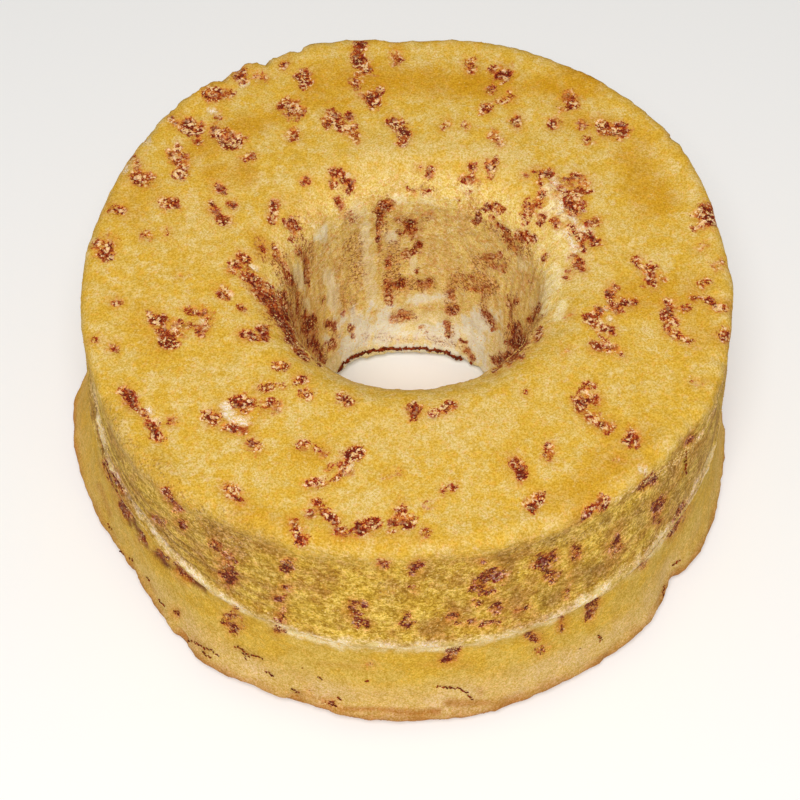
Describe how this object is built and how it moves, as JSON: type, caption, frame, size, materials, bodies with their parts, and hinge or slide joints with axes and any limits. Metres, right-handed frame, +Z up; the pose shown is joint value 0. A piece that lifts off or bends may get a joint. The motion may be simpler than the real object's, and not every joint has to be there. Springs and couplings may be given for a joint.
{
  "type": "ring cake",
  "caption": "Whole ring-shaped sponge cake with a flat top, a funnel-shaped centre hole, a ridge round its wall, a flared ragged base and melted chocolate sprinkles.",
  "frame": {"origin": "on the surface the cake stands on, at the centre of its outline", "axes": "+Z up through the hole, the cake's shortest extent; -Y is the side seen at the front; +X to the right"},
  "size_m": [0.2516, 0.2468, 0.108],
  "materials": {
    "crust": "dry fine-grained golden baked crust, rough and matt",
    "sprinkles": "melted and re-set chocolate, slightly rough"
  },
  "bodies": {
    "root": {"cake": "crust"}
  },
  "joints": []
}
